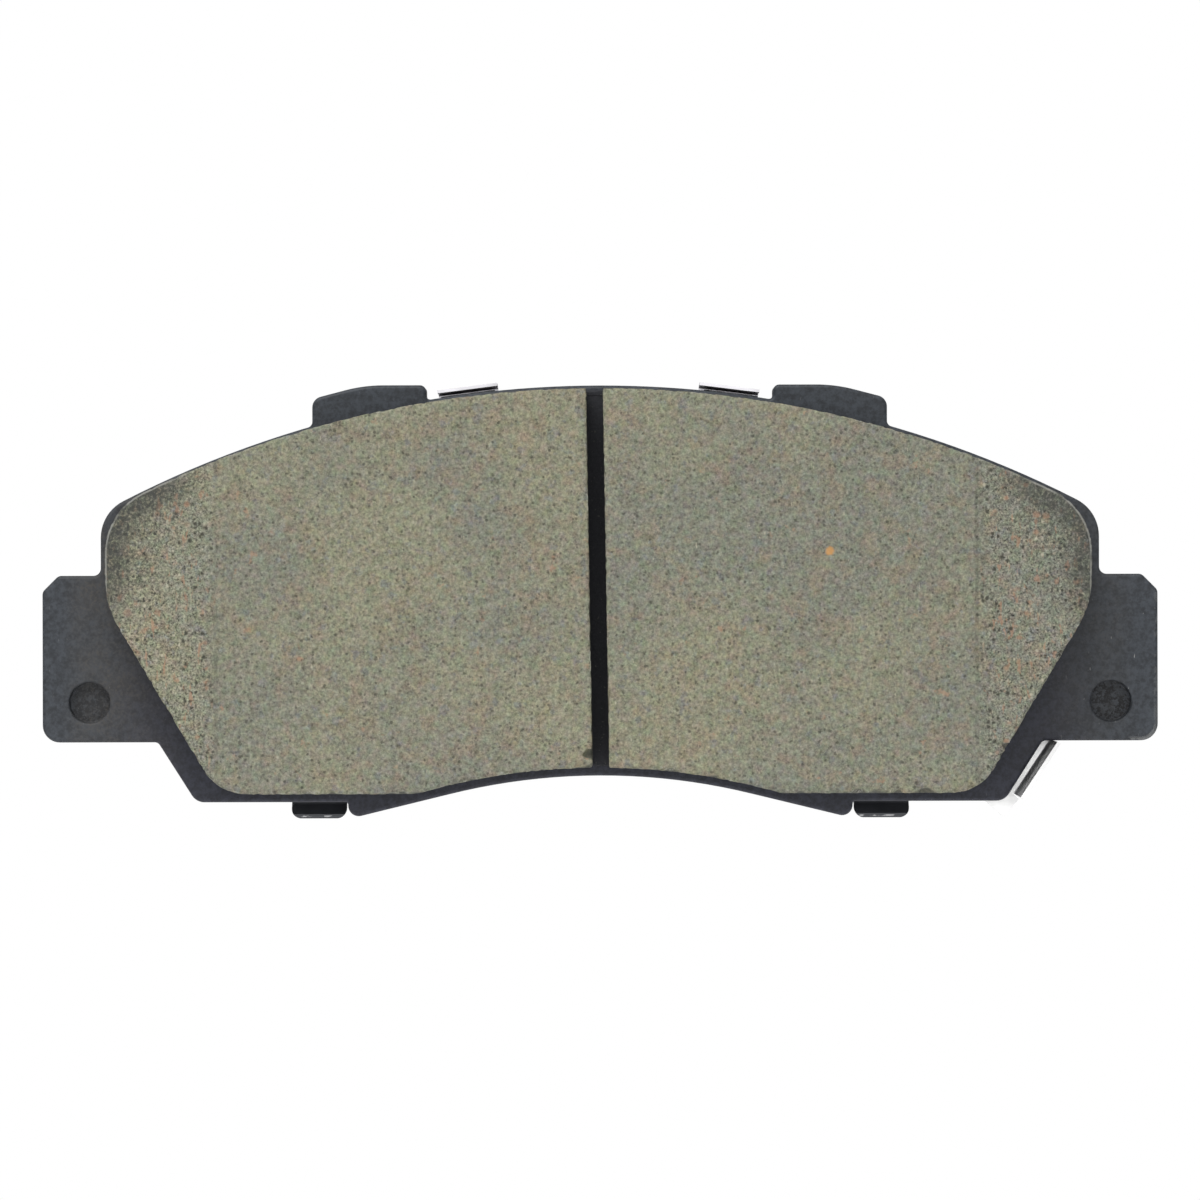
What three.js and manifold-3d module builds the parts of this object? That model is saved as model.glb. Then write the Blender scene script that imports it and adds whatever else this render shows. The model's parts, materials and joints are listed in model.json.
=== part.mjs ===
// A front disc-brake pad: friction material moulded on a steel backing plate, with two clip-on
// anti-squeal shims behind it and a sprung wear indicator at one end.
// Millimetres. X runs along the pad, +Z points away from the wheel axle, -Y faces the brake disc.
// The origin is the centre of the outer shim's rear face, where the caliper piston pushes.
import * as THREE from "three";
import { mergeVertices } from "three/addons/utils/BufferGeometryUtils.js";
import Module from "manifold-3d";

const wasm = await Module();
wasm.setup();

// Layers, counted from the piston side to the disc side.
const outerShimThickness = 0.4;
const shimRubberThickness = 0.25;
const shimCoreThickness = 0.3;
const plateThickness = 6.0;
const underlayerThickness = 1.5;
const frictionThickness = 8.5;

const innerShimThickness = 2 * shimRubberThickness + shimCoreThickness;
const innerShimRearY = -outerShimThickness;
const plateRearY = innerShimRearY - innerShimThickness;
const underlayerRearY = plateRearY - plateThickness;
const frictionRearY = underlayerRearY - underlayerThickness;

// Backing plate. Heights are Z, reaches are |X|.
const plateTop = 28.67;
const plateTopRadius = 140.0;
const arcCentreZ = plateTop - plateTopRadius;
const shoulderReach = 66.7;
const shoulderRadius = 5.5;
const earReach = 74.5;
const earTop = 3.37;
const earBottom = -18.9;
const earChamfer = 2.15; // at the upper outer corner
const lowerCornerReach = 54.0;
const slopeFootReach = 59.1;
const plateBottom = -26.93;
const lobeReach = 33.7;
const lobeCornerZ = -29.21;
const bellyTop = -23.46;
const bellyRadius = 84.0;
const bellyReach = 20.2;
const lugTop = 28.75;
const lugInner = 23.2;
const lugOuter = 38.4;
const lugOuterTop = 26.95;
const lugBreak = 31.5;

// Half-sheared pips: pushed in from the disc side, standing out on the piston side.
const pipReach = 68.2;
const pipZ = -13.6;
const pipRadius = 2.74;
const pipRecess = 1.5;
const pipHeight = 1.1;
const stakedHeadRadius = 3.5;
const keyHoleRadius = 6.0;
const keyHolePlaces = [-44, -17, 17, 44];
const keyHoleZ = 2.0;
const keyClearance = 0.15;

// Friction lining and its underlayer.
const liningShift = -0.2;
const liningReach = 65.2;
const liningTopRadius = 139.3;
const liningShoulderRadius = 9.0;
const liningKneeZ = -0.5;
const liningKneeRadius = 13.0;
const liningLowerReach = 50.2;
const liningBottom = -25.56;
const liningCornerRadius = 6.8;
const liningBellyTop = -22.13;
const liningBellyRadius = 86.5;
const slotWidth = 2.17;
const slotCentreX = -0.3;
const slotCentreZ = 3.0;
const slotLean = THREE.MathUtils.degToRad(0.86);
const chamferStarts = { left: -50.65, right: 49.65 };
const chamferDepth = 1.2;

// Shims. An end drops straight to the knee, and then slopes in to the lower corner.
const innerSheet = {
  radius: 138.8, reach: 57.0, upperCorner: 3, knee: [57.0, -1.0, 6], lowerCorner: [46.0, -25.5, 3], inset: 2,
};
const outerSheet = {
  radius: 137.6, reach: 53.0, upperCorner: 4, knee: [53.0, -2.0, 6], lowerCorner: [43.5, -23.6, 3], inset: 4,
};
const tongue = { from: 14.1, to: 21.3, radius: 140.35, footFillet: 0.4 };
const hook = {
  from: 34.1, to: 41.5, bendZ: -27.05, bendRadius: 0.6, reach: 1.8, cornerRadius: 1.35, footFillet: 0.4,
};
const hookTurn = THREE.MathUtils.degToRad(48);
const clip = { centres: [-17.6, 17.3], width: 8.07, underside: 140.64, bendRadius: 0.25, tipY: -6.0 };
const shimWindow = { centreX: 34.0, centreZ: 3.0, halfLength: 6.5, halfHeight: 3.5, cornerRadius: 2.0 };

// Wear indicator: a base staked on the right pip, an arm, and a tongue folded along the arm's edge.
const indicatorThickness = 0.5;
const indicatorBase = { inner: 63.6, outer: 72.4, top: -9.0, bottom: -17.9, cornerRadius: 2.0 };
const indicatorArm = {
  shoulder: [61.0, -12.3, 4.0], farCorner: [49.7, -25.3], tip: [54.24, -29.25], neck: [56.3, -26.95],
};
const indicatorFold = { x: 58.44, z: -22.69, angle: THREE.MathUtils.degToRad(33.6), length: 8.85 };
const indicatorBendRadius = 0.5;
const indicatorStandProud = 2.0;
const indicatorHoleClearance = 0.2;

const curveSegments = 5;
const X = new THREE.Vector3(1, 0, 0);
const Y = new THREE.Vector3(0, 1, 0);
const Z = new THREE.Vector3(0, 0, 1);
const overshoot = 1; // how far a cutter stands clear of what it cuts
const weld = 1.2; // how far a bent tab runs into its flat sheet

// Height of a circle about the common arc centre at a given X.
const arcZ = (radius, x) => arcCentreZ + Math.sqrt(radius * radius - x * x);

// A corner is [x, z, fillet radius]. An arc runs clockwise between two angles, or against the clock.
const corner = (x, z, radius = 0) => ({ start: [x, z], end: [x, z], radius });
function arc(cx, cz, radius, from, to, clockwise = true) {
  const at = (angle) => [cx + radius * Math.cos(angle), cz + radius * Math.sin(angle)];
  return { start: at(from), end: at(to), sweep: [cx, cz, radius, from, to, clockwise] };
}

// The stretch of a circle about the common arc centre between two values of X, clockwise.
const topArc = (radius, fromX, toX) =>
  arc(0, arcCentreZ, radius, Math.acos(fromX / radius), Math.acos(toX / radius));

// The fillet that leaves a top arc and lands on the vertical line x = reach.
function shoulder(radius, reach, fillet) {
  const centreX = reach - fillet;
  const rise = Math.sqrt((radius - fillet) ** 2 - centreX ** 2);
  return arc(centreX, arcCentreZ + rise, fillet, Math.atan2(rise, centreX), 0);
}
const shoulderX = (radius, reach, fillet) => (radius * (reach - fillet)) / (radius - fillet);

// The hollow under the pad: half of it, ending on the centre line.
const belly = (top, radius, fromX) =>
  arc(0, top - radius, radius, Math.acos(fromX / radius), Math.PI / 2, false);

// A shape from corners and arcs, with each corner's fillet tangent to its two neighbours.
function outline(items) {
  const shape = new THREE.Shape();
  items.forEach((item, i) => {
    if (item.sweep) {
      shape.absarc(...item.sweep);
      return;
    }
    const point = new THREE.Vector2(...item.start);
    if (!item.radius) {
      if (shape.curves.length || i) shape.lineTo(point.x, point.y);
      else shape.moveTo(point.x, point.y);
      return;
    }
    const before = items.at(i - 1).end;
    const after = items[(i + 1) % items.length].start;
    const back = new THREE.Vector2(...before).sub(point).normalize();
    const ahead = new THREE.Vector2(...after).sub(point).normalize();
    const half = Math.acos(THREE.MathUtils.clamp(back.dot(ahead), -1, 1)) / 2;
    const tangent = item.radius / Math.tan(half);
    const centre = back.clone().add(ahead).setLength(item.radius / Math.sin(half)).add(point);
    const from = back.clone().multiplyScalar(tangent).add(point).sub(centre).angle();
    const to = ahead.clone().multiplyScalar(tangent).add(point).sub(centre).angle();
    const clockwise = back.cross(ahead) > 0;
    shape.absarc(centre.x, centre.y, item.radius, from, to, clockwise);
  });
  shape.closePath();
  return shape;
}

// The whole outline from its right half, which runs clockwise from the top to the bottom.
function mirrored(half, shift = 0) {
  const moved = (side, item) => {
    const place = ([x, z]) => [side * x + shift, z];
    if (!item.sweep) return { ...item, start: place(item.start), end: place(item.end) };
    const [cx, cz, radius, from, to, clockwise] = item.sweep;
    if (side > 0) return arc(cx + shift, cz, radius, from, to, clockwise);
    return arc(shift - cx, cz, radius, Math.PI - to, Math.PI - from, clockwise);
  };
  const right = half.map((item) => moved(1, item));
  const left = half.map((item) => moved(-1, item)).reverse();
  return outline([...right, ...left]);
}

// A closed mesh as a solid that can be joined and cut.
function solid(geometry) {
  geometry.deleteAttribute("normal");
  geometry.deleteAttribute("uv");
  const merged = mergeVertices(geometry, 1e-4);
  const mesh = new wasm.Mesh({
    numProp: 3,
    vertProperties: merged.attributes.position.array,
    triVerts: new Uint32Array(merged.index.array),
  });
  return new wasm.Manifold(mesh);
}

// A shape drawn on the axes across and up, and pushed out along their cross product.
function prism(shape, length, origin, across, up) {
  const along = new THREE.Vector3().crossVectors(across, up);
  const geometry = new THREE.ExtrudeGeometry(shape, { depth: length, bevelEnabled: false, curveSegments });
  return solid(geometry.applyMatrix4(new THREE.Matrix4().makeBasis(across, up, along).setPosition(origin)));
}

// A sheet or block whose rear face is at rearY, and which is as thick as said towards the disc.
const slab = (shape, rearY, thickness) => prism(shape, thickness, new THREE.Vector3(0, rearY, 0), X, Z);

// A round bar along Y whose rear end is at rearY.
function bar(x, z, radius, rearY, length) {
  const geometry = new THREE.CylinderGeometry(radius, radius, length, 32);
  return solid(geometry.translate(x, rearY - length / 2, z));
}

function piece(name, made, finish) {
  const cut = made.getMesh();
  const geometry = new THREE.BufferGeometry();
  geometry.setAttribute("position", new THREE.BufferAttribute(cut.vertProperties, 3));
  geometry.setIndex(new THREE.BufferAttribute(cut.triVerts, 1));
  geometry.computeVertexNormals();
  const mesh = new THREE.Mesh(geometry, finish);
  mesh.name = name;
  return mesh;
}

// Each function below makes its piece with its rear face at y = 0.

// Where an arc meets a corner it stops short by this much of X, to leave room for the corner's fillet.
const arcMargin = 1.5;

function plateShape() {
  const lugFoot = arcZ(plateTopRadius, lugInner);
  const lugHeel = arcZ(plateTopRadius, lugOuter);
  return mirrored([
    topArc(plateTopRadius, 0, lugInner - arcMargin),
    corner(lugInner, lugFoot, 0.6),
    corner(lugInner, lugTop, 0.8),
    corner(lugBreak, lugTop, 20),
    corner(lugOuter, lugOuterTop, 1.5),
    corner(lugOuter, lugHeel, 0.8),
    topArc(plateTopRadius, lugOuter + arcMargin, shoulderX(plateTopRadius, shoulderReach, shoulderRadius)),
    shoulder(plateTopRadius, shoulderReach, shoulderRadius),
    corner(shoulderReach, earTop, 1.0),
    corner(earReach - earChamfer, earTop, 1.0),
    corner(earReach, earTop - earChamfer, 1.0),
    corner(earReach, earBottom, 2.3),
    corner(slopeFootReach, earBottom, 0.8),
    corner(lowerCornerReach, plateBottom, 2.0),
    corner(lobeReach, plateBottom, 0.4),
    corner(lobeReach, lobeCornerZ, 1.4),
    belly(bellyTop, bellyRadius, bellyReach),
  ]);
}

function backingPlate() {
  let made = slab(plateShape(), 0, plateThickness);
  for (const x of keyHolePlaces) {
    made = made.subtract(bar(x, keyHoleZ, keyHoleRadius, overshoot, plateThickness + 2 * overshoot));
  }
  for (const side of [-1, 1]) {
    const recess = bar(side * pipReach, pipZ, pipRadius, pipRecess - plateThickness, pipRecess + overshoot);
    const boss = bar(side * pipReach, pipZ, pipRadius, pipHeight, pipHeight + overshoot);
    made = made.subtract(recess).add(boss);
  }
  const headThickness = pipHeight - indicatorThickness;
  return made.add(bar(pipReach, pipZ, stakedHeadRadius, pipHeight, headThickness));
}

function liningShape() {
  const fillet = [liningTopRadius, liningReach, liningShoulderRadius];
  const drop = liningBottom - (liningBellyTop - liningBellyRadius);
  const bellyEdge = Math.sqrt(liningBellyRadius ** 2 - drop ** 2);
  return mirrored(
    [
      topArc(liningTopRadius, 0, shoulderX(...fillet)),
      shoulder(...fillet),
      corner(liningReach, liningKneeZ, liningKneeRadius),
      corner(liningLowerReach, liningBottom, liningCornerRadius),
      corner(bellyEdge, liningBottom, 3.0),
      belly(liningBellyTop, liningBellyRadius, bellyEdge - arcMargin),
    ],
    liningShift,
  );
}

function underlayer() {
  let made = slab(liningShape(), 0, underlayerThickness);
  for (const x of keyHolePlaces) {
    const plugRadius = keyHoleRadius - keyClearance;
    made = made.add(bar(x, keyHoleZ, plugRadius, plateThickness, plateThickness + overshoot));
  }
  return made;
}

// One half of the lining: everything on its side of the slot, ground down towards its end.
function frictionBlock(side, chamferStart) {
  const across = new THREE.Vector3(Math.cos(slotLean), 0, Math.sin(slotLean));
  const up = new THREE.Vector3(-Math.sin(slotLean), 0, Math.cos(slotLean));
  const nearEdge = side * (slotWidth / 2);
  const farEdge = side * earReach;
  const half = outline([
    corner(nearEdge, -earReach),
    corner(nearEdge, earReach),
    corner(farEdge, earReach),
    corner(farEdge, -earReach),
  ]);
  const centre = new THREE.Vector3(slotCentreX, overshoot, slotCentreZ);
  const keep = prism(half, frictionThickness + 2 * overshoot, centre, across, up);
  const endX = liningShift + side * liningReach;
  const slope = chamferDepth / (endX - chamferStart);
  const faceY = -frictionThickness;
  const wedge = outline([
    corner(chamferStart, faceY),
    corner(chamferStart, faceY - overshoot),
    corner(farEdge, faceY - overshoot),
    corner(farEdge, faceY + slope * (farEdge - chamferStart)),
  ]);
  const ground = prism(wedge, 2 * earReach, new THREE.Vector3(0, 0, -earReach), X, Y);
  return slab(liningShape(), 0, frictionThickness).intersect(keep).subtract(ground);
}

// A shim's outline: an arc, a sloped end and a belly that all run inside the plate's own. The extra
// corners go in on the arc, between two values of X, and on the lower edge.
function sheetShape(sheet, onArc = { from: 0, to: 0, corners: [] }, onEdge = []) {
  const { radius, reach, upperCorner, knee, lowerCorner, inset } = sheet;
  const drop = lowerCorner[1] - (bellyTop - bellyRadius);
  const bellyEdge = Math.sqrt((bellyRadius + inset) ** 2 - drop ** 2);
  const arcs = onArc.corners.length
    ? [topArc(radius, 0, onArc.from), ...onArc.corners, topArc(radius, onArc.to, reach - 2 * arcMargin)]
    : [topArc(radius, 0, reach - 2 * arcMargin)];
  return mirrored([
    ...arcs,
    corner(reach, arcZ(radius, reach), upperCorner),
    corner(...knee),
    corner(...lowerCorner),
    ...onEdge,
    corner(bellyEdge, lowerCorner[1], 3),
    belly(bellyTop + inset, bellyRadius + inset, bellyEdge - arcMargin),
  ]);
}

// The rubber-coated shim has a tongue behind each clip of the other shim, and a root for each hook.
function innerShimShape() {
  const { radius, lowerCorner } = innerSheet;
  const tongueCorners = [
    corner(tongue.from, arcZ(radius, tongue.from), tongue.footFillet),
    corner(tongue.from, arcZ(tongue.radius, tongue.from)),
    corner(tongue.to, arcZ(tongue.radius, tongue.to)),
    corner(tongue.to, arcZ(radius, tongue.to), tongue.footFillet),
  ];
  const hookRoot = [
    corner(hook.to, lowerCorner[1], hook.footFillet),
    corner(hook.to, hook.bendZ),
    corner(hook.from, hook.bendZ),
    corner(hook.from, lowerCorner[1], hook.footFillet),
  ];
  const gap = 1.5 * tongue.footFillet;
  return sheetShape(
    innerSheet,
    { from: tongue.from - gap, to: tongue.to + gap, corners: tongueCorners },
    hookRoot,
  );
}

// The hooks under the plate, for a layer that spans two depths measured from the plate's rear face.
function hooks(near, far) {
  const centreY = -innerShimThickness - hook.bendRadius;
  const inner = hook.bendRadius + near;
  const outer = hook.bendRadius + far;
  const forward = [-Math.sin(hookTurn) * hook.reach, -Math.cos(hookTurn) * hook.reach];
  const tip = (radius) => {
    const [y, z] = [centreY + radius * Math.cos(hookTurn), hook.bendZ - radius * Math.sin(hookTurn)];
    return corner(y + forward[0], z + forward[1]);
  };
  const section = outline([
    arc(centreY, hook.bendZ, outer, 0, -hookTurn),
    tip(outer),
    tip(inner),
    arc(centreY, hook.bendZ, inner, -hookTurn, 0, false),
    corner(centreY + inner, hook.bendZ + weld),
    corner(centreY + outer, hook.bendZ + weld),
  ]);
  const tipZ = hook.bendZ - (hook.bendRadius + innerShimThickness) * Math.sin(hookTurn) + forward[1];
  return [-1, 1].map((side) => {
    const [low, high] = side > 0 ? [hook.from, hook.to] : [-hook.to, -hook.from];
    const strip = prism(section, high - low, new THREE.Vector3(low, 0, 0), Y, Z);
    const rounded = outline([
      corner(low, 0),
      corner(high, 0),
      corner(high, tipZ, hook.cornerRadius),
      corner(low, tipZ, hook.cornerRadius),
    ]);
    return strip.intersect(slab(rounded, overshoot, plateThickness));
  });
}

// One layer of the rubber-coated shim, with the layer's own rear face at y = 0.
function innerShimLayer(near, far) {
  const rear = -(innerShimThickness - far);
  let made = slab(innerShimShape(), rear, far - near);
  for (const each of hooks(near, far)) made = made.add(each);
  return made.translate(0, -rear, 0);
}

// The clip that stands up from the outer shim and folds forward over the plate's upper edge.
function clipTab(centreX) {
  const lean = Math.asin(centreX / plateTopRadius);
  const radial = new THREE.Vector3(Math.sin(lean), 0, Math.cos(lean));
  const bendY = -outerShimThickness - clip.bendRadius;
  const bendR = clip.underside - clip.bendRadius;
  const outer = clip.bendRadius + outerShimThickness;
  const section = outline([
    corner(0, outerSheet.radius - weld),
    corner(-outerShimThickness, outerSheet.radius - weld),
    arc(bendY, bendR, clip.bendRadius, 0, Math.PI / 2, false),
    corner(clip.tipY, clip.underside),
    corner(clip.tipY, clip.underside + outerShimThickness),
    arc(bendY, bendR, outer, Math.PI / 2, 0),
  ]);
  const along = new THREE.Vector3().crossVectors(Y, radial);
  const origin = new THREE.Vector3(0, 0, arcCentreZ).addScaledVector(along, -clip.width / 2);
  return prism(section, clip.width, origin, Y, radial);
}

function outerShim() {
  let made = slab(sheetShape(outerSheet), 0, outerShimThickness);
  for (const side of [-1, 1]) {
    const [midX, midZ] = [side * shimWindow.centreX, shimWindow.centreZ];
    const { halfLength, halfHeight, cornerRadius } = shimWindow;
    const hole = outline([
      corner(midX - halfLength, midZ + halfHeight, cornerRadius),
      corner(midX + halfLength, midZ + halfHeight, cornerRadius),
      corner(midX + halfLength, midZ - halfHeight, cornerRadius),
      corner(midX - halfLength, midZ - halfHeight, cornerRadius),
    ]);
    made = made.subtract(slab(hole, overshoot, outerShimThickness + 2 * overshoot));
  }
  for (const centreX of clip.centres) made = made.add(clipTab(centreX));
  return made;
}

// The indicator's rear face is at y = 0 and its front face rests on the plate.
function wearIndicator() {
  const away = new THREE.Vector3(Math.cos(indicatorFold.angle), 0, -Math.sin(indicatorFold.angle));
  const down = new THREE.Vector3(-Math.sin(indicatorFold.angle), 0, -Math.cos(indicatorFold.angle));
  const middle = new THREE.Vector3(indicatorFold.x, 0, indicatorFold.z);
  const bendOuter = indicatorBendRadius + indicatorThickness;
  const half = indicatorFold.length / 2;
  const onFold = (along) => {
    const p = middle.clone().addScaledVector(down, along).addScaledVector(away, -bendOuter);
    return [p.x, p.z];
  };
  const { inner, outer, top, bottom, cornerRadius } = indicatorBase;
  const flat = outline([
    corner(inner, top, cornerRadius),
    corner(outer, top, cornerRadius),
    corner(outer, bottom, cornerRadius),
    corner(inner - 1, bottom, cornerRadius / 2),
    corner(...onFold(-half)),
    corner(...onFold(half)),
    corner(...indicatorArm.neck),
    corner(...indicatorArm.tip),
    corner(...indicatorArm.farCorner),
    corner(...indicatorArm.shoulder),
  ]);
  const tipY = -indicatorThickness - plateThickness - indicatorStandProud;
  const bendY = -indicatorThickness - indicatorBendRadius;
  const section = outline([
    corner(-bendOuter - weld, 0),
    corner(-bendOuter - weld, -indicatorThickness),
    arc(-indicatorBendRadius, bendY, indicatorBendRadius, Math.PI / 2, 0),
    corner(0, tipY),
    corner(indicatorThickness, tipY),
    arc(-indicatorBendRadius, bendY, bendOuter, 0, Math.PI / 2, false),
  ]);
  const foot = middle.clone().addScaledVector(down, half);
  const fold = prism(section, indicatorFold.length, foot, away, Y);
  const holeRadius = pipRadius + indicatorHoleClearance;
  const hole = bar(pipReach, pipZ, holeRadius, overshoot, 2 * overshoot + indicatorThickness);
  return slab(flat, 0, indicatorThickness).add(fold).subtract(hole);
}

const finish = (color, roughness, metalness = 0) =>
  new THREE.MeshStandardMaterial({ color, roughness, metalness });
const powderCoat = finish(0x3c3f44, 0.55);
const friction = finish(0x8c8977, 0.9);
const bondingLayer = finish(0x34322e, 0.95);
const rubberCoat = finish(0x18191b, 0.65);
const coreSteel = finish(0x9a9b9c, 0.35, 1);
const stainless = finish(0xb9babb, 0.28, 1);
const springSteel = finish(0xc6c7c8, 0.3, 1);

function placed(mesh, y) {
  mesh.position.y = y;
  return mesh;
}

const lining = new THREE.Group();
lining.add(
  placed(piece("friction_block_left", frictionBlock(-1, chamferStarts.left), friction), frictionRearY),
  placed(piece("friction_block_right", frictionBlock(1, chamferStarts.right), friction), frictionRearY),
  placed(piece("underlayer", underlayer(), bondingLayer), underlayerRearY),
);

const innerShim = new THREE.Group();
innerShim.position.y = innerShimRearY;
const coreNear = shimRubberThickness;
const coreFar = shimRubberThickness + shimCoreThickness;
innerShim.add(
  placed(piece("inner_shim_front_rubber", innerShimLayer(0, coreNear), rubberCoat), -coreFar),
  placed(piece("inner_shim_steel_core", innerShimLayer(coreNear, coreFar), coreSteel), -shimRubberThickness),
  piece("inner_shim_rear_rubber", innerShimLayer(coreFar, innerShimThickness), rubberCoat),
);

const pad = new THREE.Group();
pad.add(
  placed(piece("backing_plate", backingPlate(), powderCoat), plateRearY),
  lining,
  innerShim,
  piece("outer_shim", outerShim(), stainless),
  placed(piece("wear_indicator", wearIndicator(), springSteel), plateRearY + indicatorThickness),
);

export default pad;
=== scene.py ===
"""A disc-brake pad: friction lining, backing plate, clip-on shims and wear indicator.

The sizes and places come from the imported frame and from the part's own numbers below. Each piece
is a copy of its plain solid, finished as the real one is made: stamped, sawn, ground, chipped,
coated. Metres, +Z up, the disc at -Y.
"""

import json
import math
import random
from contextlib import contextmanager

import bmesh
import bpy
from bpy.props import (
    FloatProperty,
    FloatVectorProperty,
    IntProperty,
    PointerProperty,
)
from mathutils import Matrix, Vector

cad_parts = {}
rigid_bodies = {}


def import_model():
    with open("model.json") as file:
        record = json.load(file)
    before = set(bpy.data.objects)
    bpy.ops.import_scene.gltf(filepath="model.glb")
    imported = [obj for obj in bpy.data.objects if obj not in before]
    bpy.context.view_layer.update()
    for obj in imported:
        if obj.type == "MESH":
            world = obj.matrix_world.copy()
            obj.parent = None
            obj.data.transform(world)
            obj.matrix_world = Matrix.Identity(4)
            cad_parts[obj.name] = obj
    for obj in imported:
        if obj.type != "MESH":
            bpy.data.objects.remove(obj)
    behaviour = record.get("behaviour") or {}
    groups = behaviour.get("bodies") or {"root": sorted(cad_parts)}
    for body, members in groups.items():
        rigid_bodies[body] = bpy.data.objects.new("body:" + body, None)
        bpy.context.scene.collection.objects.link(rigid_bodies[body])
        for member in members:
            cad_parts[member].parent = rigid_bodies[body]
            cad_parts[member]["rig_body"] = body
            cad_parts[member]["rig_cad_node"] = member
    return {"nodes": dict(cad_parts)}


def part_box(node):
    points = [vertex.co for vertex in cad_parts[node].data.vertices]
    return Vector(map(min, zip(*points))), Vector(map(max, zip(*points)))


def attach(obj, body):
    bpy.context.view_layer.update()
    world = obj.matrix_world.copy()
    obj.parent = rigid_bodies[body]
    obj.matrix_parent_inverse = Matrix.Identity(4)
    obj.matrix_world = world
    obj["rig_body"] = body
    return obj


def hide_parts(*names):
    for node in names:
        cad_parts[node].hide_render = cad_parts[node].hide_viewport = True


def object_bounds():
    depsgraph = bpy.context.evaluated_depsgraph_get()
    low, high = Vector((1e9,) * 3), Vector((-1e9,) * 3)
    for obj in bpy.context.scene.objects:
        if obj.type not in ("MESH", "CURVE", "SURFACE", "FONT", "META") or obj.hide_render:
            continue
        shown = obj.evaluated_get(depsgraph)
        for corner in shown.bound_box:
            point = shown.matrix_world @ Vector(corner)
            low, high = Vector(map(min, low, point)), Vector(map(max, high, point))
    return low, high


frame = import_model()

bl_info = {
    "name": "Disc brake pad",
    "version": (1, 0, 0),
    "blender": (4, 5, 0),
    "location": "3D View > Sidebar > Brake pad",
    "description": "Finishes a brake pad's lining, plate, shims and wear indicator",
    "category": "Mesh",
}

MM = 0.001
CAD_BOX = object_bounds()
PLATE_LOW, PLATE_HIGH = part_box("backing_plate")
FACE_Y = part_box("friction_block_left")[0].y
PLATE_FRONT_Y = PLATE_LOW.y

# Lines of the part that a cut or a finish follows, in millimetres. A reach is a distance from the
# middle, and a drop is a depth below the origin.
PIP_REACH = 68.2
PIP_Z = -13.6
LINING_SHIFT = 0.2  # the lining sits this far to the left
LINING_REACH = 65.2
LINING_FILLET = 9.0
TOP_RADIUS = 139.3
TOP_CENTRE_DROP = 111.33
BELLY_RADIUS = 86.5
BELLY_CENTRE_DROP = 108.63
LINING_BOTTOM_DROP = 25.56
RIDGES = (-50.65, 49.65)  # where the sloping ends begin
END_SLOPE = 0.08
COARSE_GRAIN = (30.3, 6.4)  # X and Z of the one large copper grain
KEY_HOLES = (-44, -17, 17, 44)  # X of their middles
SHIM_WINDOWS = (-34, 34)  # X of their middles
PIP_DEPTH = 1.5
PIP_ZONE = 3.2  # half the width of a square that holds all of a pip
LOWER_EDGE_Z = -19  # a rim place below this is on the lining's lower edge


# --- Settings -----------------------------------------------------------------------------------


def length_prop(name, description, millimetres):
    return FloatProperty(
        name=name,
        description=description,
        default=millimetres * MM,
        min=0.0,
        precision=5,
        unit="LENGTH",
        subtype="DISTANCE",
    )


def colour_prop(name, description, rgb):
    return FloatVectorProperty(
        name=name,
        description=description,
        default=rgb,
        min=0.0,
        max=1.0,
        size=3,
        subtype="COLOR",
    )


class PlateSettings(bpy.types.PropertyGroup):
    die_roll: length_prop("Die roll", "Rounding of the stamped edge on the disc side", 0.5)
    burr_break: length_prop("Burr break", "Rounding of the blanked edge on the piston side", 0.15)
    pip_edge: length_prop("Pip edge", "Rounding at the mouth of each pushed-in pip", 0.3)
    head_edge: length_prop("Head edge", "Rounding of the pips and of the staked head", 0.28)


class LiningSettings(bpy.types.PropertyGroup):
    grit: length_prop("Grit", "Size of the surface mesh that holds the pits", 0.31)
    chips: IntProperty(
        name="Chips",
        description="Number of crumbs broken out of each block's rim",
        default=76,
        min=0,
    )
    chip_size: length_prop("Chip size", "Radius of the largest chip", 0.8)
    pit_size: length_prop("Pit size", "Spacing of the open pores", 0.8)
    pit_depth: length_prop("Pit depth", "Depth of the open pores", 0.14)
    flash: length_prop("Flash", "Unevenness of the bonding layer's squeezed edge", 0.16)


class SheetSettings(bpy.types.PropertyGroup):
    steel_edge: length_prop("Steel edge", "Rounding of a blanked sheet edge", 0.05)
    rubber_edge: length_prop("Rubber edge", "Rounding of a rubber layer's edge", 0.07)


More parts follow.
